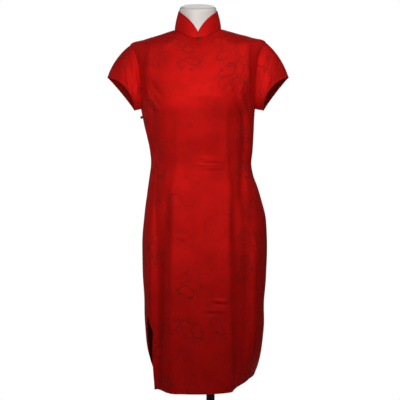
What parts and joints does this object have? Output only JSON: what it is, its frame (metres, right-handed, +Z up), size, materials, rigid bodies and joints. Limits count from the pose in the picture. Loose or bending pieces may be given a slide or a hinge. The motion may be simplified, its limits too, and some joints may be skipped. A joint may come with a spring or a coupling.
{
  "type": "cheongsam dress on a dress form",
  "caption": "Knee-length satin cheongsam with stand collar, cap sleeves and side slits, worn on a limbless dress form with a pole and round base.",
  "frame": {"origin": "middle of the part's footprint box, on the surface that the round base stands on", "axes": "+Z up; the dress's front faces -Y and the wearer's left is +X"},
  "size_m": [0.526, 0.33, 1.4688],
  "materials": {
    "red_satin": "red jacquard satin",
    "knot_cord": "dark red knotted cord",
    "white_form": "off-white, semi-gloss",
    "black_steel": "black, satin"
  },
  "bodies": {
    "root": {"front_panel": "red_satin", "back_panel": "red_satin", "sleeve_left": "red_satin", "sleeve_right": "red_satin", "collar": "red_satin", "collar_piping": "red_satin", "neck_button": "knot_cord", "side_button": "knot_cord", "form_torso": "white_form", "form_socket": "black_steel", "pole": "black_steel", "base_hub": "black_steel", "base_disc": "black_steel"}
  },
  "joints": []
}
